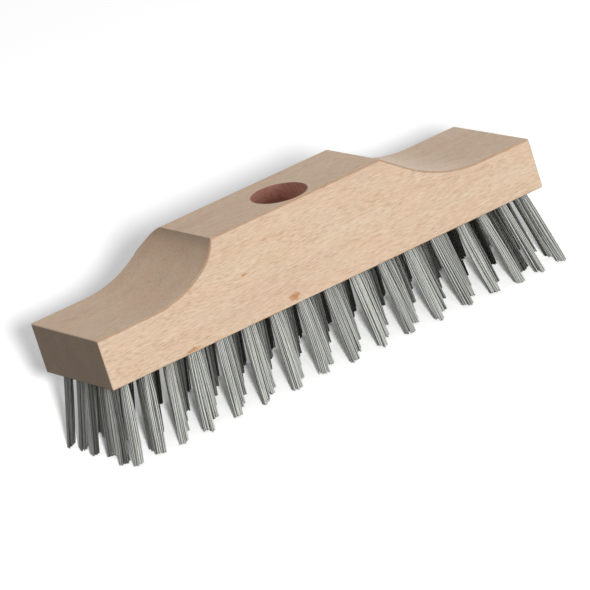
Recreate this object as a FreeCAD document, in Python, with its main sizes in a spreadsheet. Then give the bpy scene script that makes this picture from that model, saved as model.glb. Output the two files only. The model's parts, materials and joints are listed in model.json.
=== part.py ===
import FreeCAD, Part
import Sketcher
import math
import os

from FreeCAD import Placement, Rotation, Vector

# Steel wire scrubbing brush head: a saddle-shaped beech block with six rows of wire tufts
# under it, each tuft folded over a flat steel anchor at the bottom of its drilled hole,
# and a blind slanted socket for a broom handle in the top of the hump.
#
# Frame: millimetres, +X along the block, +Y across it away from the handle's side, +Z up.
# The origin is under the middle of the block, on the plane of the wire tips, on which the
# brush stands.

DIMENSIONS = [
    ("block_length", 280),
    ("block_width", 79),
    ("wing_thickness", 28.6),
    ("hump_height", 53.6),
    ("free_length", 44.5),
    # Hump: its two shoulders, measured from the block's middle, and the two hollow flanks.
    ("left_shoulder", 59.6),
    ("left_wing_end", 105.3),
    ("left_toe_radius", 63),
    ("left_throat_radius", 28),
    ("right_shoulder", 49.8),
    ("right_slope_angle", 37),
    ("right_toe_radius", 75),
    # Crowned bevel along the hump's far upper edge.
    ("bevel_width", 20.5),
    ("bevel_drop", 12.7),
    ("bevel_radius", 45),
    ("near_edge_radius", 1.4),
    ("edge_break", 0.7),
    # Handle socket: its mouth on the hump's top, its slant from upright, its depth on its axis.
    ("socket_diameter", 29),
    ("socket_slant", 45),
    ("socket_depth", 38),
    ("socket_from_middle", -2.8),
    ("socket_from_near_face", 22.5),
    # Tuft holes: six rows across the block. Odd rows have one hole more than even rows,
    # gained by closing up the three outermost pitches at each end.
    ("row_pitch", 12.6),
    ("column_pitch", 17.48),
    ("end_pitch", 14.15),
    ("hole_diameter", 5.2),
    ("hole_depth", 12),
    # The tips spread wider than the holes, along the block and across it. The outermost row
    # on each side leans out less than the rows inside it.
    ("fan_along", 1.073),
    ("fan_across", 1.37),
    ("outer_row_fan", 1.235),
    ("tip_diameter", 6.4),
    ("collar_length", 1),
    # Anchor: a flat steel plate on edge across the fold of the tuft.
    ("anchor_width", 6.4),
    ("anchor_height", 2.4),
    ("anchor_thickness", 0.4),
    ("anchor_lift", 2),
]

ROWS = 6
ODD_ROW_HOLES = 17
EVEN_ROW_HOLES = 16
SQUEEZED_PITCHES = 3

doc = FreeCAD.newDocument("wire_scrubbing_brush")


def make_sheet():
    """The driving dimensions, one alias each."""
    sheet = doc.addObject("Spreadsheet::Sheet", "dimensions")
    for line, (alias, value) in enumerate(DIMENSIONS, start=1):
        sheet.set("A%d" % line, alias)
        sheet.set("B%d" % line, str(value))
        sheet.setAlias("B%d" % line, alias)
    doc.recompute()
    return sheet


sheet = make_sheet()


def size(alias):
    return float(sheet.get(alias))


def make_body(name):
    return doc.addObject("PartDesign::Body", name)


def add_sketch(body, name, plane_role):
    """A sketch flat on one of its body's own origin planes."""
    sketch = body.newObject("Sketcher::SketchObject", name)
    planes = [item for item in body.Origin.OriginFeatures if item.Role == plane_role]
    sketch.AttachmentSupport = [(planes[0], "")]
    sketch.MapMode = "FlatFace"
    return sketch


def bind(sketch, kind, *args, to):
    """Add a dimension to a sketch and tie it to an expression on the sheet."""
    index = sketch.addConstraint(Sketcher.Constraint(kind, *args))
    sketch.setExpression("Constraints[%d]" % index, to)


def flat(x, y):
    return Vector(x, y, 0)


def arc(centre, radius, start, end):
    """A counter-clockwise sketch arc between two angles in radians."""
    circle = Part.Circle(flat(*centre), Vector(0, 0, 1), radius)
    return Part.ArcOfCircle(circle, start, end)


def close_rectangle(sketch, left, bottom, right, top):
    """Four lines, joined and squared: bottom 0, right 1, top 2, left 3."""
    corners = [(left, bottom), (right, bottom), (right, top), (left, top)]
    for index in range(4):
        start = corners[index]
        end = corners[(index + 1) % 4]
        sketch.addGeometry(Part.LineSegment(flat(*start), flat(*end)), False)
    for index in range(4):
        sketch.addConstraint(Sketcher.Constraint("Coincident", index, 2, (index + 1) % 4, 1))
    for index in (0, 2):
        sketch.addConstraint(Sketcher.Constraint("Horizontal", index))
    for index in (1, 3):
        sketch.addConstraint(Sketcher.Constraint("Vertical", index))


# --- Block ---------------------------------------------------------------------------------


def draw_side_profile(sketch):
    """The block's outline seen from the near side: two level wings, a hump with a level top
    between them, and hollow flanks. The left flank is two tangent arcs that steepen to the
    shoulder; the right flank is one arc that runs out into a straight slope."""
    half = size("block_length") / 2
    wing = size("wing_thickness")
    top = size("hump_height")
    rise = top - wing

    # Left flank: the toe arc touches the wing, and the throat arc inside it ends at the shoulder.
    toe = size("left_toe_radius")
    throat = size("left_throat_radius")
    shoulder = (-size("left_shoulder"), top)
    toe_centre = (-size("left_wing_end"), wing + toe)
    reach = math.hypot(shoulder[0] - toe_centre[0], shoulder[1] - toe_centre[1])
    bearing = math.atan2(shoulder[1] - toe_centre[1], shoulder[0] - toe_centre[0])
    offset = toe - throat
    swing = math.acos((offset ** 2 + reach ** 2 - throat ** 2) / (2 * offset * reach))
    joint_angle = bearing - swing
    throat_centre = (
        toe_centre[0] + offset * math.cos(joint_angle),
        toe_centre[1] + offset * math.sin(joint_angle),
    )
    joint = (
        toe_centre[0] + toe * math.cos(joint_angle),
        toe_centre[1] + toe * math.sin(joint_angle),
    )
    shoulder_angle = math.atan2(shoulder[1] - throat_centre[1], shoulder[0] - throat_centre[0])

    # Right flank: a slope down from the shoulder to an arc that touches the wing.
    slope = math.radians(size("right_slope_angle"))
    right_toe = size("right_toe_radius")
    arc_rise = right_toe * (1 - math.cos(slope))
    slope_end = (size("right_shoulder") + (rise - arc_rise) / math.tan(slope), wing + arc_rise)
    right_centre = (slope_end[0] + right_toe * math.sin(slope), wing + right_toe)

    down = -math.pi / 2
    edges = [
        Part.LineSegment(flat(-half, 0), flat(half, 0)),
        Part.LineSegment(flat(half, 0), flat(half, wing)),
        Part.LineSegment(flat(half, wing), flat(right_centre[0], wing)),
        arc(right_centre, right_toe, down - slope, down),
        Part.LineSegment(flat(*slope_end), flat(size("right_shoulder"), top)),
        Part.LineSegment(flat(size("right_shoulder"), top), flat(*shoulder)),
        arc(throat_centre, throat, joint_angle, shoulder_angle),
        arc(toe_centre, toe, down, joint_angle),
        Part.LineSegment(flat(toe_centre[0], wing), flat(-half, wing)),
        Part.LineSegment(flat(-half, wing), flat(-half, 0)),
    ]
    for edge in edges:
        sketch.addGeometry(edge, False)

    # Arcs start (1) and end (2) counter-clockwise, so an arc's own ends are named here.
    base, right_end, right_wing, right_arc, right_slope, hump_top = range(6)
    throat_arc, toe_arc, left_wing, left_end = range(6, 10)
    joins = [
        (base, 2, right_end, 1),
        (right_end, 2, right_wing, 1),
        (right_slope, 2, hump_top, 1),
        (hump_top, 2, throat_arc, 2),
        (left_wing, 2, left_end, 1),
        (left_end, 2, base, 1),
    ]
    for join in joins:
        sketch.addConstraint(Sketcher.Constraint("Coincident", *join))
    tangents = [
        (right_wing, 2, right_arc, 2),
        (right_arc, 1, right_slope, 1),
        (throat_arc, 1, toe_arc, 2),
        (toe_arc, 1, left_wing, 1),
    ]
    for tangent in tangents:
        sketch.addConstraint(Sketcher.Constraint("Tangent", *tangent))
    for level in (base, right_wing, hump_top, left_wing):
        sketch.addConstraint(Sketcher.Constraint("Horizontal", level))
    for upright in (right_end, left_end):
        sketch.addConstraint(Sketcher.Constraint("Vertical", upright))

    origin = (-1, 1)
    sketch.addConstraint(Sketcher.Constraint("PointOnObject", base, 1, -1))
    bind(sketch, "DistanceX", base, 1, *origin, half, to="dimensions.block_length / 2")
    bind(sketch, "DistanceX", base, 1, base, 2, 2 * half, to="dimensions.block_length")
    bind(sketch, "DistanceY", right_end, 1, right_end, 2, wing, to="dimensions.wing_thickness")
    bind(sketch, "DistanceY", left_end, 2, left_end, 1, wing, to="dimensions.wing_thickness")
    bind(sketch, "DistanceY", *origin, hump_top, 1, top, to="dimensions.hump_height")
    bind(sketch, "DistanceX", *origin, hump_top, 1, size("right_shoulder"),
         to="dimensions.right_shoulder")
    bind(sketch, "DistanceX", hump_top, 2, *origin, size("left_shoulder"),
         to="dimensions.left_shoulder")
    bind(sketch, "DistanceX", left_wing, 1, *origin, size("left_wing_end"),
         to="dimensions.left_wing_end")
    bind(sketch, "Radius", right_arc, right_toe, to="dimensions.right_toe_radius")
    bind(sketch, "Radius", throat_arc, throat, to="dimensions.left_throat_radius")
    bind(sketch, "Radius", toe_arc, toe, to="dimensions.left_toe_radius")
    bind(sketch, "DistanceX", *origin, right_wing, 2, right_centre[0],
         to="dimensions.right_shoulder"
            " + (dimensions.hump_height - dimensions.wing_thickness"
            " - dimensions.right_toe_radius * (1 - cos(dimensions.right_slope_angle * 1deg)))"
            " / tan(dimensions.right_slope_angle * 1deg)"
            " + dimensions.right_toe_radius * sin(dimensions.right_slope_angle * 1deg)")


def draw_bevel(sketch):
    """What the crowned bevel takes off the hump's far upper edge, in the plane across the
    block: sketch x is +Y and sketch y is +Z. The waste reaches past the block's corner."""
    far = size("block_width") / 2
    top = size("hump_height")
    crest = (far - size("bevel_width"), top)
    foot = (far, top - size("bevel_drop"))
    radius = size("bevel_radius")
    chord = math.hypot(foot[0] - crest[0], foot[1] - crest[1])
    depth = math.sqrt(radius ** 2 - (chord / 2) ** 2)
    middle = ((crest[0] + foot[0]) / 2, (crest[1] + foot[1]) / 2)
    inward = ((foot[1] - crest[1]) / chord, -(foot[0] - crest[0]) / chord)
    centre = (middle[0] + inward[0] * depth, middle[1] + inward[1] * depth)
    start = math.atan2(foot[1] - centre[1], foot[0] - centre[0])
    end = math.atan2(crest[1] - centre[1], crest[0] - centre[0])
    sketch.addGeometry(arc(centre, radius, start, end), False)
    sketch.addGeometry(Part.LineSegment(flat(*crest), flat(far, top)), False)
    sketch.addGeometry(Part.LineSegment(flat(far, top), flat(*foot)), False)
    sketch.addConstraint(Sketcher.Constraint("Coincident", 0, 2, 1, 1))
    sketch.addConstraint(Sketcher.Constraint("Coincident", 1, 2, 2, 1))
    sketch.addConstraint(Sketcher.Constraint("Coincident", 2, 2, 0, 1))
    sketch.addConstraint(Sketcher.Constraint("Horizontal", 1))
    sketch.addConstraint(Sketcher.Constraint("Vertical", 2))
    bind(sketch, "DistanceX", -1, 1, 1, 2, far, to="dimensions.block_width / 2")
    bind(sketch, "DistanceY", -1, 1, 1, 2, top, to="dimensions.hump_height")
    bind(sketch, "DistanceX", 1, 1, 1, 2, size("bevel_width"), to="dimensions.bevel_width")
    bind(sketch, "DistanceY", 2, 2, 2, 1, size("bevel_drop"), to="dimensions.bevel_drop")
    bind(sketch, "Radius", 0, radius, to="dimensions.bevel_radius")


def draw_socket(sketch):
    """Half the socket's section, right of the sketch's vertical axis, which is the socket's
    axis: the sketch is turned by the slant and its origin is the middle of the mouth."""
    radius = size("socket_diameter") / 2
    depth = size("socket_depth")
    close_rectangle(sketch, 0, -depth, radius, 2 * radius)
    sketch.addConstraint(Sketcher.Constraint("PointOnObject", 3, 1, -2))
    bind(sketch, "DistanceX", 0, 1, 0, 2, radius, to="dimensions.socket_diameter / 2")
    bind(sketch, "DistanceY", 0, 1, -1, 1, depth, to="dimensions.socket_depth")
    bind(sketch, "DistanceY", -1, 1, 2, 1, 2 * radius, to="dimensions.socket_diameter")
    sketch.AttachmentOffset = Placement(
        Vector(
            size("socket_from_near_face") - size("block_width") / 2,
            size("hump_height"),
            size("socket_from_middle"),
        ),
        Rotation(Vector(0, 0, 1), size("socket_slant")),
    )
    offset = "AttachmentOffset."
    sketch.setExpression(offset + "Base.x",
                         "dimensions.socket_from_near_face - dimensions.block_width / 2")
    sketch.setExpression(offset + "Base.y", "dimensions.hump_height")
    sketch.setExpression(offset + "Base.z", "dimensions.socket_from_middle")
    sketch.setExpression(offset + "Rotation.Angle", "dimensions.socket_slant")


def edge_names(shape, wanted):
    """The names of the edges whose middle point passes the test."""
    names = []
    for index, edge in enumerate(shape.Edges, start=1):
        middle = edge.valueAt((edge.FirstParameter + edge.LastParameter) / 2)
        if wanted(edge, middle):
            names.append("Edge%d" % index)
    return names


def require_less(after, before, what):
    if after >= before - 1:
        raise RuntimeError(what + " removed nothing")


def make_block_body():
    """The shaped block with its socket, before the tuft holes are drilled."""
    body = make_body("block_body")
    profile = add_sketch(body, "side_profile", "XZ_Plane")
    draw_side_profile(profile)
    pad = body.newObject("PartDesign::Pad", "block_pad")
    pad.Profile = profile
    pad.SideType = "Symmetric"
    pad.setExpression("Length", "dimensions.block_width")
    doc.recompute()

    bevel_sketch = add_sketch(body, "bevel_section", "YZ_Plane")
    draw_bevel(bevel_sketch)
    bevel = body.newObject("PartDesign::Pocket", "far_bevel")
    bevel.Profile = bevel_sketch
    bevel.SideType = "Symmetric"
    bevel.setExpression("Length", "dimensions.block_length")
    doc.recompute()
    require_less(bevel.Shape.Volume, pad.Shape.Volume, "the bevel")

    near = -size("block_width") / 2
    half = size("block_length") / 2
    outer = half - 0.01
    low = size("wing_thickness") - 0.01
    near_round = body.newObject("PartDesign::Fillet", "near_upper_edge_round")
    near_round.Base = (bevel, edge_names(
        bevel.Shape,
        lambda edge, middle: abs(middle.y - near) < 0.01 and middle.z > low,
    ))
    near_round.setExpression("Radius", "dimensions.near_edge_radius")
    doc.recompute()

    socket_sketch = add_sketch(body, "socket_section", "YZ_Plane")
    draw_socket(socket_sketch)
    socket = body.newObject("PartDesign::Groove", "handle_socket")
    socket.Profile = socket_sketch
    socket.ReferenceAxis = (socket_sketch, ["V_Axis"])
    socket.Angle = 360
    doc.recompute()
    require_less(socket.Shape.Volume, near_round.Shape.Volume, "the socket")

    breaks = body.newObject("PartDesign::Fillet", "block_edge_break")
    breaks.Base = (socket, edge_names(
        socket.Shape,
        lambda edge, middle: abs(middle.x) > outer or middle.z < 0.01,
    ))
    breaks.setExpression("Radius", "dimensions.edge_break")
    doc.recompute()
    body.Tip = breaks
    body.setExpression("Placement.Base.z", "dimensions.free_length")
    return body


# --- Tufts and anchors ---------------------------------------------------------------------


def row_stations(row):
    """Where a row's holes are along the block, for row 0 (nearest) to row 5. Odd-numbered
    rows (0, 2, 4) have 17 holes, and the others have 16 at one even pitch."""
    pitch = size("column_pitch")
    if row % 2:
        return [(index - (EVEN_ROW_HOLES - 1) / 2) * pitch for index in range(EVEN_ROW_HOLES)]
    middle = ODD_ROW_HOLES // 2
    even_reach = middle - SQUEEZED_PITCHES
    stations = []
    for index in range(-middle, middle + 1):
        inner = min(abs(index), even_reach)
        outer = abs(index) - inner
        reach = inner * pitch + outer * size("end_pitch")
        stations.append(math.copysign(reach, index))
    return stations


def tuft_placement(along, row):
    """The hole's mouth on the underside, and the line from it to the middle of the tips."""
    across = (row - (ROWS - 1) / 2) * size("row_pitch")
    fan_across = size("outer_row_fan" if row in (0, ROWS - 1) else "fan_across")
    mouth = Vector(along, across, size("free_length"))
    tip = Vector(along * size("fan_along"), across * fan_across, 0)
    return Placement(mouth, Rotation(Vector(0, 0, -1), tip.sub(mouth)))


def make_tuft_blank():
    """One folded bundle, upright, with its hole's mouth at the origin: a round root that
    fills the hole, a short collar as wide, and a slightly flared free length that is cut
    over-long, since all the tufts are trimmed to one plane afterwards."""
    body = make_body("tuft_blank")
    sketch = add_sketch(body, "tuft_section", "XZ_Plane")
    root = size("hole_diameter") / 2
    tip = size("tip_diameter") / 2
    depth = size("hole_depth")
    collar = size("collar_length")
    length = 1.1 * size("free_length")
    points = [(0, depth), (0, -length), (tip, -length), (root, -collar), (root, depth)]
    count = len(points)
    for index in range(count):
        start = points[index]
        end = points[(index + 1) % count]
        sketch.addGeometry(Part.LineSegment(flat(*start), flat(*end)), False)
    for index in range(count):
        sketch.addConstraint(Sketcher.Constraint("Coincident", index, 2, (index + 1) % count, 1))
    axis, end, _flare, wall, bottom = range(count)
    sketch.addConstraint(Sketcher.Constraint("PointOnObject", axis, 1, -2))
    sketch.addConstraint(Sketcher.Constraint("PointOnObject", axis, 2, -2))
    sketch.addConstraint(Sketcher.Constraint("Horizontal", end))
    sketch.addConstraint(Sketcher.Constraint("Horizontal", bottom))
    sketch.addConstraint(Sketcher.Constraint("Vertical", wall))
    bind(sketch, "DistanceY", -1, 1, axis, 1, depth, to="dimensions.hole_depth")
    bind(sketch, "DistanceY", axis, 2, -1, 1, length, to="1.1 * dimensions.free_length")
    bind(sketch, "DistanceX", end, 1, end, 2, tip, to="dimensions.tip_diameter / 2")
    bind(sketch, "DistanceY", wall, 1, -1, 1, collar, to="dimensions.collar_length")
    bind(sketch, "DistanceX", -1, 1, wall, 1, root, to="dimensions.hole_diameter / 2")
    turned = body.newObject("PartDesign::Revolution", "tuft_round")
    turned.Profile = sketch
    turned.ReferenceAxis = (sketch, ["V_Axis"])
    turned.Angle = 360
    doc.recompute()
    body.Tip = turned
    return body


def make_anchor_blank():
    """One anchor: a flat plate on edge across the hole, near its bottom, longer than the
    hole is wide so that both its ends bite into the wood."""
    body = make_body("anchor_blank")
    sketch = add_sketch(body, "anchor_outline", "YZ_Plane")
    half = size("anchor_width") / 2
    low = size("hole_depth") - size("anchor_lift") - size("anchor_height")
    high = size("hole_depth") - size("anchor_lift")
    close_rectangle(sketch, -half, low, half, high)
    bind(sketch, "DistanceX", 0, 1, -1, 1, half, to="dimensions.anchor_width / 2")
    bind(sketch, "DistanceX", 0, 1, 0, 2, 2 * half, to="dimensions.anchor_width")
    bind(sketch, "DistanceY", -1, 1, 2, 1, high, to="dimensions.hole_depth - dimensions.anchor_lift")
    bind(sketch, "DistanceY", 0, 2, 2, 1, high - low, to="dimensions.anchor_height")
    pad = body.newObject("PartDesign::Pad", "anchor_pad")
    pad.Profile = sketch
    pad.SideType = "Symmetric"
    pad.setExpression("Length", "dimensions.anchor_thickness")
    doc.recompute()
    body.Tip = pad
    return body


def make_drill():
    """The drilled hole's own volume, with its mouth at the origin and running out of it."""
    drill = doc.addObject("Part::Cylinder", "tuft_drill")
    drill.setExpression("Radius", "dimensions.hole_diameter / 2")
    drill.setExpression("Height", "dimensions.hole_depth + dimensions.hole_diameter")
    drill.setExpression("Placement.Base.z", "-dimensions.hole_diameter")
    holder = doc.addObject("Part::Compound", "tuft_drill_from_mouth")
    holder.Links = [drill]
    return holder


def copies(source, name, placements):
    """One link to the source at each placement, gathered in a compound."""
    links = []
    for number, placement in enumerate(placements, start=1):
        link = doc.addObject("App::Link", "%s_%02d" % (name, number))
        link.LinkedObject = source
        link.LinkTransform = False
        link.Placement = placement
        links.append(link)
    group = doc.addObject("Part::Compound", name)
    group.Links = links
    return group


def cut(name, base, tools):
    """A finished sub-part: the base with the tools' volumes taken out of it."""
    tool = doc.addObject("Part::Compound", name + "_tools")
    tool.Links = tools
    result = doc.addObject("Part::Cut", name)
    result.Base = base
    result.Tool = tool
    result.Label = name
    return result


def make_floor_waste():
    """Everything under the plane of the tips, which the tufts are trimmed to."""
    waste = doc.addObject("Part::Box", "floor_waste")
    waste.setExpression("Length", "1.2 * dimensions.block_length")
    waste.setExpression("Width", "2 * dimensions.block_width")
    waste.setExpression("Height", "dimensions.free_length")
    waste.setExpression("Placement.Base.x", "-0.6 * dimensions.block_length")
    waste.setExpression("Placement.Base.y", "-dimensions.block_width")
    waste.setExpression("Placement.Base.z", "-dimensions.free_length")
    return waste


def build():
    """Make every sub-part and return them in the order of their names' groups."""
    tuft_blank = make_tuft_blank()
    anchor_blank = make_anchor_blank()
    drill = make_drill()
    waste = make_floor_waste()

    rows = []
    for row in range(ROWS):
        rows.append([tuft_placement(along, row) for along in row_stations(row)])

    anchors = []
    drills = []
    for row, placements in enumerate(rows, start=1):
        anchors.append(copies(anchor_blank, "anchors_row_%d" % row, placements))
        drills.append(copies(drill, "drills_row_%d" % row, placements))
    block = cut("block", make_block_body(), drills + anchors)

    tufts = []
    for first_row, kind in enumerate(("odd", "even")):
        own_rows = range(first_row, ROWS, 2)
        own_anchors = [anchors[row] for row in own_rows]
        for column in range(len(rows[first_row])):
            name = "%s_row_tufts_%02d" % (kind, column + 1)
            placements = [rows[row][column] for row in own_rows]
            blanks = copies(tuft_blank, name + "_blanks", placements)
            tufts.append(cut(name, blanks, [waste] + own_anchors))
    return [block] + anchors + tufts


def check(parts):
    """Stop on any failed object or empty or broken shape."""
    for item in doc.Objects:
        if "Invalid" in item.State or "Error" in item.State:
            raise RuntimeError(item.Name + " failed to build")
    for part in parts:
        if part.Shape.isNull() or not part.Shape.isValid() or not part.Shape.Solids:
            raise RuntimeError(part.Label + " has no valid solid")


parts = build()
doc.recompute()
check(parts)
os.makedirs("parts", exist_ok=True)
for part in parts:
    part.Shape.exportStep("parts/%s.step" % part.Label)
    box = part.Shape.BoundBox
    print("%-22s solids %3d  volume %10.1f  x %7.2f %7.2f  y %6.2f %6.2f  z %6.2f %6.2f" % (
        part.Label, len(part.Shape.Solids), part.Shape.Volume,
        box.XMin, box.XMax, box.YMin, box.YMax, box.ZMin, box.ZMax))
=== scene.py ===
"""Looks of the steel wire scrubbing brush head: sanded beech, and tufts of single steel wires."""
import json
import math
import random

import bpy
from mathutils import Matrix, Vector


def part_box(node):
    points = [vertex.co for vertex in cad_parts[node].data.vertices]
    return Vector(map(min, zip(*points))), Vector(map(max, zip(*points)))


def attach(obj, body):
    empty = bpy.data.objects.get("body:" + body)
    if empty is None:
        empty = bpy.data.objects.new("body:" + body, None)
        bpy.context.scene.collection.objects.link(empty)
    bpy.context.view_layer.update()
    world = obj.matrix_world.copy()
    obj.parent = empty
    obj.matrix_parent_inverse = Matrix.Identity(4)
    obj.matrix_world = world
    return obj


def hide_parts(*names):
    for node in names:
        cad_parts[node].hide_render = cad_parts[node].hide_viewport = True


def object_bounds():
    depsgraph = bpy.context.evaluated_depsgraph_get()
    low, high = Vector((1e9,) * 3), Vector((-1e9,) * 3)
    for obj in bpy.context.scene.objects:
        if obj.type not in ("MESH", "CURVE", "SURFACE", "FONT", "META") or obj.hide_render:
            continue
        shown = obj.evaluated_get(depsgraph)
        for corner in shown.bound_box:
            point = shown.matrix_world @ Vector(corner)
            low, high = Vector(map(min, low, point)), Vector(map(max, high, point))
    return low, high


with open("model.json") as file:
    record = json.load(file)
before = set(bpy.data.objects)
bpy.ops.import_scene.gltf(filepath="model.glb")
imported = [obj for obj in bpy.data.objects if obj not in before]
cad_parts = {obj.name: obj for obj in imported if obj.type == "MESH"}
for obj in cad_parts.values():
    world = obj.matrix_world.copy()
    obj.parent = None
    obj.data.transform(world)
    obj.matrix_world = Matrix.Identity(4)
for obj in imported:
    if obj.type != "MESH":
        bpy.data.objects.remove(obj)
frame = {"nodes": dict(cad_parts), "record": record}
cad_low, cad_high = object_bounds()
block_low, block_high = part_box("block")
centre = (block_low + block_high) / 2
centre.z = (cad_low.z + cad_high.z) / 2

MM = 0.001
WORLD_UP = Vector((0, 0, 1))

# --- Camera: looks along the block from its left end, a little from above, and is rolled ------

CAMERA_AZIMUTH = math.radians(25.21)
CAMERA_ELEVATION = math.radians(16.38)
CAMERA_ROLL = math.radians(-17.85)
CAMERA_DISTANCE = 2.768
CAMERA_LENS = 311.6
CENTRE_RIGHT = -0.0002
CENTRE_UP = 0.01293


def direction(azimuth, elevation):
    """The direction from the middle of the brush towards a viewer or a light."""
    flat = math.cos(elevation)
    return Vector((-math.sin(azimuth) * flat, -math.cos(azimuth) * flat, math.sin(elevation)))


def make_camera():
    back = direction(CAMERA_AZIMUTH, CAMERA_ELEVATION)
    level_right = WORLD_UP.cross(back).normalized()
    level_up = back.cross(level_right)
    right = level_right * math.cos(CAMERA_ROLL) + level_up * math.sin(CAMERA_ROLL)
    up = back.cross(right)
    data = bpy.data.cameras.new("camera")
    data.lens = CAMERA_LENS
    data.sensor_width = 36
    data.clip_start = 0.1
    data.clip_end = 100
    camera = bpy.data.objects.new("camera", data)
    bpy.context.collection.objects.link(camera)
    turn = Matrix((right, up, back)).transposed().to_4x4()
    place = centre + back * CAMERA_DISTANCE - right * CENTRE_RIGHT - up * CENTRE_UP
    camera.matrix_world = Matrix.Translation(place) @ turn
    bpy.context.scene.camera = camera


# --- Materials -------------------------------------------------------------------------------


class Shader:
    """A short way to write a node material: every call adds one node and returns its output."""

    def __init__(self, name):
        self.material = bpy.data.materials.new(name)
        self.material.use_nodes = True
        self.tree = self.material.node_tree
        self.surface = self.tree.nodes["Principled BSDF"]

    def node(self, kind, **settings):
        made = self.tree.nodes.new(kind)
        for key, value in settings.items():
            setattr(made, key, value)
        return made

    def feed(self, socket, value):
        """A socket takes another node's output, a number or a colour."""
        if isinstance(value, bpy.types.NodeSocket):
            self.tree.links.new(value, socket)
        elif isinstance(value, (tuple, list)) and len(value) == 3 and socket.type == "RGBA":
            socket.default_value = (*value, 1)
        else:
            socket.default_value = value

    def position(self):
        return self.node("ShaderNodeTexCoord").outputs["Object"]

    def scaled(self, vector, scale, shift=(0, 0, 0)):
        mapping = self.node("ShaderNodeMapping")
        self.feed(mapping.inputs["Vector"], vector)
        mapping.inputs["Scale"].default_value = scale
        mapping.inputs["Location"].default_value = shift
        return mapping.outputs["Vector"]

    def noise(self, vector, detail=3.0, rough=0.5, distortion=0.0):
        made = self.node("ShaderNodeTexNoise")
        self.feed(made.inputs["Vector"], vector)
        made.inputs["Scale"].default_value = 1
        made.inputs["Detail"].default_value = detail
        made.inputs["Roughness"].default_value = rough
        made.inputs["Distortion"].default_value = distortion
        return made.outputs["Fac"]

    def cells(self, vector):
        made = self.node("ShaderNodeTexVoronoi")
        self.feed(made.inputs["Vector"], vector)
        made.inputs["Scale"].default_value = 1
        return made.outputs["Distance"]

    def ramp(self, value, low, high, out_low=0.0, out_high=1.0):
        """A smooth step of a value from one range to another, held at the ends."""
        made = self.node("ShaderNodeMapRange", interpolation_type="SMOOTHSTEP")
        self.feed(made.inputs["Value"], value)
        made.inputs["From Min"].default_value = low
        made.inputs["From Max"].default_value = high
        made.inputs["To Min"].default_value = out_low
        made.inputs["To Max"].default_value = out_high
        return made.outputs["Result"]

    def math(self, operation, first, second=0.0, third=0.0):
        made = self.node("ShaderNodeMath", operation=operation)
        for socket, value in zip(made.inputs, (first, second, third)):
            self.feed(socket, value)
        return made.outputs["Value"]

    def vector_math(self, operation, first, second=(0, 0, 0), output="Vector"):
        made = self.node("ShaderNodeVectorMath", operation=operation)
        self.feed(made.inputs[0], first)
        self.feed(made.inputs[1], second)
        return made.outputs[output]

    def mix(self, amount, first, second, blend="MIX"):
        made = self.node("ShaderNodeMix", data_type="RGBA", blend_type=blend)
        self.feed(made.inputs["Factor"], amount)
        colours = [socket for socket in made.inputs if socket.type == "RGBA"]
        self.feed(colours[0], first)
        self.feed(colours[1], second)
        return [socket for socket in made.outputs if socket.type == "RGBA"][0]

    def bump(self, height, strength, distance, normal=None):
        made = self.node("ShaderNodeBump")
        self.feed(made.inputs["Height"], height)
        made.inputs["Strength"].default_value = strength
        made.inputs["Distance"].default_value = distance
        if normal is not None:
            self.feed(made.inputs["Normal"], normal)
        return made.outputs["Normal"]


BEECH_PALE = (0.735, 0.567, 0.404)
BEECH_PINK = (0.748, 0.536, 0.376)
BEECH_DARK_BAND = (0.665, 0.475, 0.345)
BEECH_CREAM_BAND = (0.755, 0.625, 0.460)
FIBRE_DARK = (0.60, 0.40, 0.25)
STREAK_LIGHT = (0.84, 0.67, 0.54)
STREAK_DARK = (0.54, 0.36, 0.235)
FLECK_BROWN = (0.47, 0.27, 0.16)
# darker end grain, deepened further with painted shade
END_GRAIN_AND_SHADE_TINT = (0.71, 0.74, 0.79)
# painted shade on the near side's upper eased edges
EASED_EDGE_SHADE_TINT = (0.70, 0.62, 0.57)
STAIN_RUST = (0.52, 0.23, 0.085)
STAIN_DEPTH = 12
# painted shade for the socket's wall and floor, mottled
SOCKET_SHADE_DARK = (0.46, 0.225, 0.172)
SOCKET_SHADE_LIGHT = (0.57, 0.297, 0.228)

STAINS = (
    # along the block, height above the underside, length, height, strength; all in mm
    (-88.0, 1.8, 5.2, 1.5, 0.85),
    (-23.3, 4.1, 4.6, 2.4, 0.90),
    (-47.5, 27.5, 4.2, 0.9, 0.75),
    (-29.8, 40.5, 2.2, 1.0, 0.30),
    (-133.9, 9.5, 2.0, 2.6, 0.30),
)


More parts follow.
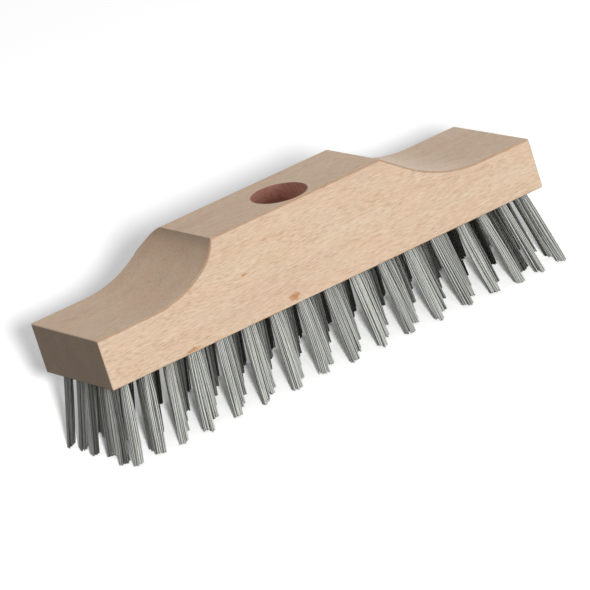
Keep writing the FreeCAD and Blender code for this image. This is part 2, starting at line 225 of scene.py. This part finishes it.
def make_beech():
    """Sanded, unvarnished beech with its grain along X: fine fibres, short dark flecks, pale
    and pinkish streaks, darker end grain deepened with painted shade, painted shade on the near
    side's upper eased edges, a few mineral stains and painted shade in the handle socket."""
    wood = Shader("beech_wood")
    place = wood.position()
    wander = wood.noise(wood.scaled(place, (12, 30, 30)), detail=2)
    lift = wood.math("MULTIPLY", wood.math("SUBTRACT", wander, 0.5), 4 * MM)
    shift = wood.node("ShaderNodeCombineXYZ")
    wood.feed(shift.inputs["Y"], lift)
    wood.feed(shift.inputs["Z"], lift)
    grain = wood.vector_math("ADD", place, shift.outputs["Vector"])

    streaks = wood.noise(wood.scaled(grain, (210, 1600, 1600)), detail=2, rough=0.6)
    fibres = wood.noise(wood.scaled(grain, (120, 1350, 1350)), detail=3, rough=0.6)
    bands = wood.noise(wood.scaled(grain, (9, 75, 75)), detail=3, rough=0.55)
    clouds = wood.noise(wood.scaled(grain, (45, 130, 130), shift=(3, 1, 2)), detail=3)
    flecks = wood.cells(wood.scaled(grain, (190, 1500, 1500)))
    fleck_zone = wood.noise(wood.scaled(grain, (60, 160, 160), shift=(7, 5, 1)), detail=2)

    colour = wood.mix(wood.ramp(clouds, 0.35, 0.68), BEECH_PALE, BEECH_PINK)
    colour = wood.mix(wood.ramp(bands, 0.42, 0.72, 0, 0.55), colour, BEECH_DARK_BAND)
    colour = wood.mix(wood.ramp(bands, 0.46, 0.26, 0, 0.6), colour, BEECH_CREAM_BAND)
    colour = wood.mix(wood.ramp(fibres, 0.45, 0.75, 0, 0.50), colour, FIBRE_DARK)
    colour = wood.mix(wood.ramp(streaks, 0.30, 0.50, 0.50, 0), colour, STREAK_LIGHT)
    colour = wood.mix(wood.ramp(streaks, 0.50, 0.74, 0, 0.55), colour, STREAK_DARK)
    dark = wood.math("MULTIPLY", wood.ramp(flecks, 0.20, 0.40, 1, 0),
                     wood.ramp(fleck_zone, 0.40, 0.62, 0.08, 0.50))
    colour = wood.mix(dark, colour, FLECK_BROWN)

    # Cut fibre ends, on every surface that faces along the block, take less light; the tint is
    # also set darker than the end grain alone, as painted shade on these faces.
    normal = wood.node("ShaderNodeNewGeometry").outputs["Normal"]
    parts = wood.node("ShaderNodeSeparateXYZ")
    wood.feed(parts.inputs["Vector"], normal)
    facing = wood.math("ABSOLUTE", parts.outputs["X"])
    end_grain_and_shade = wood.ramp(facing, 0.80, 1.0)
    colour = wood.mix(end_grain_and_shade, colour, END_GRAIN_AND_SHADE_TINT, blend="MULTIPLY")

    # Painted shade: the upper eased edges of the near side are made darker and browner, which
    # also takes away the light's highlight on them.
    eased = wood.math("MULTIPLY", wood.ramp(parts.outputs["Y"], -0.995, -0.93),
                      wood.ramp(parts.outputs["Y"], -0.5, -0.1, 1, 0))
    eased = wood.math("MULTIPLY", eased, wood.ramp(parts.outputs["Z"], 0.1, 0.3))
    colour = wood.mix(eased, colour, EASED_EDGE_SHADE_TINT, blend="MULTIPLY")

    blotches = wood.noise(wood.scaled(place, (420, 700, 700)), detail=3, rough=0.6)
    for along, height, length, tall, strength in STAINS:
        spot = (along * MM, block_low.y, block_low.z + height * MM)
        offset = wood.vector_math("SUBTRACT", place, spot)
        spread = (1 / (length * MM), 1 / (STAIN_DEPTH * MM), 1 / (tall * MM))
        reach = wood.vector_math("LENGTH", wood.scaled(offset, spread), output="Value")
        ragged = wood.math("ADD", reach, wood.math("MULTIPLY", blotches, 2.4))
        stain = wood.ramp(ragged, 1.5, 2.2, strength, 0)
        colour = wood.mix(stain, colour, STAIN_RUST)

    # paints the shade of the socket's recess into the colour
    colour = paint_socket_shade(wood, place, colour)
    wood.feed(wood.surface.inputs["Base Color"], colour)
    wood.feed(wood.surface.inputs["Roughness"], wood.ramp(fibres, 0.3, 0.7, 0.50, 0.66))
    wood.surface.inputs["Specular IOR Level"].default_value = 0.34
    relief = wood.bump(streaks, 0.30, 0.08 * MM)
    relief = wood.bump(wood.math("SUBTRACT", 1, dark), 0.5, 0.06 * MM, normal=relief)
    wood.feed(wood.surface.inputs["Normal"], relief)
    return wood.material


def paint_socket_shade(wood, place, colour):
    """Painted shade in the drilled socket: its wall and floor are painted a mottled dark
    red-brown, the shade of the recess.
    They are told from the rest of the block by their distance from the socket's axis and by their
    place along it."""
    mount = [m for m in frame["record"]["mounts"] if m["name"] == "handle_socket"][0]
    axis = Vector(mount["axis"]).normalized()
    offset = wood.vector_math("SUBTRACT", place, tuple(mount["pos_m"]))
    along = wood.vector_math("DOT_PRODUCT", offset, tuple(axis), output="Value")
    reach = wood.vector_math("LENGTH", offset, output="Value")
    radial_square = wood.math("SUBTRACT", wood.math("MULTIPLY", reach, reach),
                              wood.math("MULTIPLY", along, along))
    radius = mount["dims"]["r_mm"] * MM
    inside = wood.math("LESS_THAN", radial_square, (radius + 0.2 * MM) ** 2)
    height = wood.node("ShaderNodeSeparateXYZ")
    wood.feed(height.inputs["Vector"], place)
    below = wood.math("LESS_THAN", height.outputs["Z"], block_high.z - 0.15 * MM)
    mouth = (block_high.z - mount["pos_m"][2]) / axis.z
    lip = radius * math.sqrt(1 - axis.z ** 2) / axis.z
    bottom = mouth + lip - mount["dims"]["length_mm"] * MM
    above = wood.math("GREATER_THAN", along, bottom)
    inside = wood.math("MULTIPLY", inside, wood.math("MULTIPLY", below, above))
    mottle = wood.noise(wood.scaled(place, (420, 420, 420)), detail=3)
    dark = wood.mix(wood.ramp(mottle, 0.35, 0.65), SOCKET_SHADE_DARK, SOCKET_SHADE_LIGHT)
    return wood.mix(inside, colour, dark)


WIRE_DULL = (0.43, 0.437, 0.410)
WIRE_BRIGHT = (0.70, 0.712, 0.664)
WIRE_MARK = (0.30, 0.304, 0.285)
STRIP_DARK = (0.42, 0.42, 0.42)
STRIP_LIGHT = (0.60, 0.60, 0.59)


def make_wire_steel():
    """Drawn steel wire: satin grey with a tone of its own for each wire and faint lengthwise
    marks."""
    steel = Shader("steel_wire")
    tone = steel.node("ShaderNodeAttribute", attribute_name="wire_tone").outputs["Fac"]
    place = steel.position()
    marks = steel.noise(steel.scaled(place, (900, 900, 120)), detail=3)
    dull = steel.noise(steel.scaled(place, (60, 60, 40)), detail=2)
    colour = steel.mix(tone, WIRE_DULL, WIRE_BRIGHT)
    colour = steel.mix(steel.ramp(marks, 0.4, 0.8, 0, 0.4), colour, WIRE_MARK)
    steel.feed(steel.surface.inputs["Base Color"], colour)
    steel.surface.inputs["Metallic"].default_value = 0.3
    steel.feed(steel.surface.inputs["Roughness"], steel.ramp(dull, 0.3, 0.7, 0.45, 0.62))
    steel.feed(steel.surface.inputs["Normal"], steel.bump(marks, 0.2, 0.03 * MM))
    return steel.material


def make_anchor_steel():
    """Plain flat steel strip for the hidden anchors."""
    steel = Shader("anchor_steel")
    place = steel.position()
    rolled = steel.noise(steel.scaled(place, (1500, 200, 1500)), detail=3)
    colour = steel.mix(rolled, STRIP_DARK, STRIP_LIGHT)
    steel.feed(steel.surface.inputs["Base Color"], colour)
    steel.surface.inputs["Metallic"].default_value = 1
    steel.feed(steel.surface.inputs["Roughness"], steel.ramp(rolled, 0.3, 0.7, 0.35, 0.5))
    steel.feed(steel.surface.inputs["Normal"], steel.bump(rolled, 0.2, 0.02 * MM))
    return steel.material


def paint_node(name, material):
    mesh = frame["nodes"][name].data
    mesh.materials.clear()
    mesh.materials.append(material)


# --- Tufts -----------------------------------------------------------------------------------

WIRE_DIAMETER = 0.74 * MM
WIRE_SIDES = 8
GRID_PITCH = 0.78 * MM
GRID_JITTER = 0.08 * MM
GRID_REACH = 5
HOLE_RADIUS = 2.6 * MM
ROOT_DEPTH = 7 * MM
COLLAR_DEPTH = 1 * MM

# How a node's points are told apart: the gap between two tufts, the band that holds the tips,
# and the band around the holes' mouths.
TUFT_GAP = 5 * MM
TIP_BAND = 0.1 * MM
MOUTH_BAND = (2.5 * MM, 1 * MM)

# A tuft as a whole: how much wider its tips are than its hole, how soon the wires spread (share
# of the length, share of the spread), and how far its tips are set away from the near side.
FLARE = (1.05, 1.32)
EARLY_SPREAD = ((0.25, 0.65), (0.5, 0.88), (0.75, 0.98))
FAR_SET = 1.4 * MM

# Chance differences between tufts, between a tuft's strands, and between single wires: standard
# deviations in mm, and shares of the wires.
STRANDS = 3
STRAND_TURN = 0.3
TUFT_LEAN = 0.45
STRAND_LEAN = 0.45
STRAND_BOW = 0.22
STRAND_SHORT = 1.1
WIRE_SCATTER = 0.18
WIRE_BOW = 0.1
WIRE_SHORT = 0.35
STRAY_SHARE = 0.03
STRAY_FACTOR = 4.0
CLIPPED_SHARE = 0.04
CLIPPED_BY = (0.5, 3.0)

# A wire's axis ends this far above the trim plane, and a ring of points just before its end
# keeps the end's shading off the rest of the wire.
END_HEIGHT = WIRE_DIAMETER * 0.3
LAST_RING = 0.98


def clusters(points):
    """Points of one node, parted into its tufts: groups with a clear gap across the block."""
    groups = []
    for point in sorted(points, key=lambda co: co.y):
        if groups and point.y - groups[-1][-1].y < TUFT_GAP:
            groups[-1].append(point)
        else:
            groups.append([point])
    return groups


def middle(points):
    """The middle of a ring of points, from its extremes."""
    low = [min(co[axis] for co in points) for axis in range(3)]
    high = [max(co[axis] for co in points) for axis in range(3)]
    return (Vector(low) + Vector(high)) / 2


def tuft_axes(node):
    """For each tuft of a node, the middle of its tips and the middle of its hole's mouth."""
    points = [vertex.co.copy() for vertex in frame["nodes"][node].data.vertices]
    lowest = block_low.z - MOUTH_BAND[0]
    highest = block_low.z + MOUTH_BAND[1]
    tips = clusters([co for co in points if co.z < cad_low.z + TIP_BAND])
    collars = clusters([co for co in points if lowest < co.z < highest])
    axes = []
    for tip_ring, collar_ring in zip(tips, collars):
        tip = middle(tip_ring)
        collar = middle(collar_ring)
        outward = (tip - collar).normalized()
        axes.append((tip, collar - outward * COLLAR_DEPTH))
    return axes


def grid_points():
    """Places of the wires across a hole: a close-packed grid cut to the hole's circle."""
    limit = HOLE_RADIUS - WIRE_DIAMETER / 2
    points = []
    for line in range(-GRID_REACH, GRID_REACH + 1):
        for step in range(-GRID_REACH, GRID_REACH + 1):
            x = (step + 0.5 * (line % 2)) * GRID_PITCH
            y = line * GRID_PITCH * math.sqrt(3) / 2
            if math.hypot(x, y) <= limit:
                points.append((x, y))
    return points


class Wires:
    """Gathers round wires into one mesh."""

    def __init__(self):
        self.vertices = []
        self.faces = []
        self.tones = []
        self.smooth = []

    def add(self, path, across, aside, radius, tone):
        first = len(self.vertices)
        for point in path:
            for side in range(WIRE_SIDES):
                angle = 2 * math.pi * side / WIRE_SIDES
                rim = across * (radius * math.cos(angle)) + aside * (radius * math.sin(angle))
                self.vertices.append(point + rim)
                self.tones.append(tone)
        for ring in range(len(path) - 1):
            low = first + ring * WIRE_SIDES
            for side in range(WIRE_SIDES):
                beside = (side + 1) % WIRE_SIDES
                self.faces.append((low + side, low + beside,
                                   low + beside + WIRE_SIDES, low + side + WIRE_SIDES))
                self.smooth.append(True)
        last = first + (len(path) - 1) * WIRE_SIDES
        self.faces.append(tuple(first + side for side in reversed(range(WIRE_SIDES))))
        self.faces.append(tuple(last + side for side in range(WIRE_SIDES)))
        self.smooth += [False, False]

    def make(self, name, material):
        mesh = bpy.data.meshes.new(name)
        mesh.from_pydata(self.vertices, [], self.faces)
        mesh.polygons.foreach_set("use_smooth", self.smooth)
        tones = mesh.attributes.new("wire_tone", "FLOAT", "POINT")
        tones.data.foreach_set("value", self.tones)
        mesh.materials.append(material)
        piece = bpy.data.objects.new(name, mesh)
        bpy.context.collection.objects.link(piece)
        return piece


class Strand:
    """A part of a tuft whose wires lean, bow and end alike."""

    def __init__(self, angle, chance):
        self.angle = angle
        self.lean = (chance.gauss(0, STRAND_LEAN) * MM, chance.gauss(0, STRAND_LEAN) * MM)
        self.bow = (chance.gauss(0, STRAND_BOW) * MM, chance.gauss(0, STRAND_BOW) * MM)
        self.short = abs(chance.gauss(0, STRAND_SHORT)) * MM

    def away(self, angle):
        turn = abs(angle - self.angle) % (2 * math.pi)
        return min(turn, 2 * math.pi - turn)


def add_tuft(wires, tip, mouth, chance):
    """One tuft: a few strands of wires that leave the hole together, spread on the way, and
    end near the trim plane with uneven cut ends."""
    outward = (tip - mouth).normalized()
    across = Vector((1, 0, 0)) - outward * outward.x
    across.normalize()
    aside = outward.cross(across)
    first_angle = chance.uniform(0, 2 * math.pi)
    strands = []
    for index in range(STRANDS):
        angle = first_angle + index * 2 * math.pi / STRANDS + chance.gauss(0, STRAND_TURN)
        strands.append(Strand(angle, chance))
    lean_x = chance.gauss(0, TUFT_LEAN) * MM
    lean_y = chance.gauss(0, TUFT_LEAN) * MM + FAR_SET
    lean = Vector((lean_x, lean_y, 0))
    lean_u = lean.dot(across)
    lean_v = lean.dot(aside)
    flare = chance.uniform(*FLARE)
    for x, y in grid_points():
        u = x + chance.uniform(-1, 1) * GRID_JITTER
        v = y + chance.uniform(-1, 1) * GRID_JITTER
        angle = math.atan2(v, u)
        strand = min(strands, key=lambda one: one.away(angle))
        stray = STRAY_FACTOR if chance.random() < STRAY_SHARE else 1.0
        start = mouth - outward * ROOT_DEPTH + across * u + aside * v
        exit_point = mouth + across * u + aside * v
        end_u = u * flare + lean_u + strand.lean[0] + chance.gauss(0, WIRE_SCATTER) * MM * stray
        end_v = v * flare + lean_v + strand.lean[1] + chance.gauss(0, WIRE_SCATTER) * MM * stray
        end = tip + across * end_u + aside * end_v
        short = strand.short + abs(chance.gauss(0, WIRE_SHORT)) * MM
        if chance.random() < CLIPPED_SHARE:
            short += chance.uniform(*CLIPPED_BY) * MM
        lowest = cad_low.z + END_HEIGHT + short
        end = exit_point + (end - exit_point) * ((exit_point.z - lowest) / (exit_point.z - end.z))
        bow_u = strand.bow[0] + chance.gauss(0, WIRE_BOW) * MM
        bow_v = strand.bow[1] + chance.gauss(0, WIRE_BOW) * MM
        path = [start, exit_point]
        for share, spread in EARLY_SPREAD:
            bulge = 4 * share * (1 - share)
            early = (flare - 1) * (spread - share)
            path.append(exit_point.lerp(end, share)
                        + across * (u * early + bow_u * bulge)
                        + aside * (v * early + bow_v * bulge))
        path.append(path[-1].lerp(end, LAST_RING))
        path.append(end)
        wires.add(path, across, aside, WIRE_DIAMETER / 2, chance.random())


def make_tufts(material):
    names = sorted(name for name in frame["nodes"] if "row_tufts" in name)
    for number, node in enumerate(names):
        wires = Wires()
        for index, (tip, mouth) in enumerate(tuft_axes(node)):
            chance = random.Random(1000 * number + index)
            add_tuft(wires, tip, mouth, chance)
        piece = wires.make(node + "_wires", material)
        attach(piece, "root")
        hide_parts(node)


# --- Stage -----------------------------------------------------------------------------------

FLOOR_HALF = 6.0
FLOOR_GLOW = 0.12

# The sky's strength rises from dim to bright between two heights of the view direction.
SKY_HEIGHTS = (-0.2, 0.9)
SKY_STRENGTHS = (0.02, 0.46)

SUNS = (
    # name, azimuth, elevation and spread in degrees, strength
    ("key", -10, 13, 22, 2.47),
    ("rim", -140, 5, 30, 0.6),
    ("fill", 50, 21, 40, 0.60),
)

FLOOR_LAMPS = (
    # name, azimuth and elevation in degrees, radius in metres, power
    ("close_floor_lamp", 22.4, 15.3, 0.075, 94),
    ("soft_floor_lamp", 18.0, 21.0, 0.30, 12),
)


def make_floor():
    """A white sheet under the brush. Its own light isn't cast on the brush."""
    mesh = bpy.data.meshes.new("floor")
    corners = [(-FLOOR_HALF, -FLOOR_HALF), (FLOOR_HALF, -FLOOR_HALF),
               (FLOOR_HALF, FLOOR_HALF), (-FLOOR_HALF, FLOOR_HALF)]
    mesh.from_pydata([(x, y, cad_low.z) for x, y in corners], [], [(0, 1, 2, 3)])
    floor = bpy.data.objects.new("floor", mesh)
    bpy.context.collection.objects.link(floor)
    floor.visible_diffuse = False
    floor.visible_glossy = False
    paper = Shader("pale_floor")
    paper.surface.inputs["Base Color"].default_value = (0.9, 0.9, 0.9, 1)
    paper.surface.inputs["Roughness"].default_value = 0.9
    paper.surface.inputs["Specular IOR Level"].default_value = 0
    paper.surface.inputs["Emission Color"].default_value = (1, 1, 1, 1)
    paper.surface.inputs["Emission Strength"].default_value = FLOOR_GLOW
    mesh.materials.append(paper.material)
    return floor


def light_only(light, floor, state):
    """Leave the floor out of what a light shines on, or leave everything else out."""
    receivers = bpy.data.collections.new(light.name + "_receivers")
    receivers.objects.link(floor)
    receivers.collection_objects[0].light_linking.link_state = state
    light.light_linking.receiver_collection = receivers


def floor_lamp(name, azimuth, elevation, radius, power, floor):
    """A light for the floor only, near the camera, so that the shadow stays round the brush."""
    data = bpy.data.lights.new(name, "POINT")
    data.energy = power
    data.shadow_soft_size = radius
    data.use_nodes = True
    tree = data.node_tree
    falloff = tree.nodes.new("ShaderNodeLightFalloff")
    falloff.inputs["Strength"].default_value = 1
    tree.links.new(falloff.outputs["Constant"], tree.nodes["Emission"].inputs["Strength"])
    lamp = bpy.data.objects.new(name, data)
    bpy.context.collection.objects.link(lamp)
    towards = direction(math.radians(azimuth), math.radians(elevation))
    lamp.location = centre + towards * CAMERA_DISTANCE
    light_only(lamp, floor, "INCLUDE")


def sun_light(name, azimuth, elevation, spread, strength, floor):
    """A far soft light on the brush. The floor has its own."""
    data = bpy.data.lights.new(name, "SUN")
    data.angle = math.radians(spread)
    data.energy = strength
    light = bpy.data.objects.new(name, data)
    bpy.context.collection.objects.link(light)
    towards = direction(math.radians(azimuth), math.radians(elevation))
    light.rotation_mode = "QUATERNION"
    light.rotation_quaternion = towards.to_track_quat("Z", "Y")
    light_only(light, floor, "EXCLUDE")


def make_lights(floor):
    """A sky that is bright above and dim below, soft lights on the brush, and the floor's own."""
    world = bpy.data.worlds.new("studio")
    world.use_nodes = True
    tree = world.node_tree
    place = tree.nodes.new("ShaderNodeTexCoord")
    parts = tree.nodes.new("ShaderNodeSeparateXYZ")
    tree.links.new(place.outputs["Generated"], parts.inputs["Vector"])
    ramp = tree.nodes.new("ShaderNodeMapRange")
    ramp.interpolation_type = "SMOOTHSTEP"
    for socket, height in zip(("From Min", "From Max"), SKY_HEIGHTS):
        ramp.inputs[socket].default_value = height
    for socket, strength in zip(("To Min", "To Max"), SKY_STRENGTHS):
        ramp.inputs[socket].default_value = strength
    tree.links.new(parts.outputs["Z"], ramp.inputs["Value"])
    background = tree.nodes["Background"]
    background.inputs["Color"].default_value = (1, 1, 1, 1)
    tree.links.new(ramp.outputs["Result"], background.inputs["Strength"])
    bpy.context.scene.world = world
    for sun in SUNS:
        sun_light(*sun, floor)
    for lamp in FLOOR_LAMPS:
        floor_lamp(*lamp, floor)
    bpy.context.scene.view_settings.view_transform = "Standard"


make_camera()
make_lights(make_floor())
paint_node("block", make_beech())
anchor_steel = make_anchor_steel()
for name in frame["nodes"]:
    if name.startswith("anchors_row"):
        paint_node(name, anchor_steel)
make_tufts(make_wire_steel())
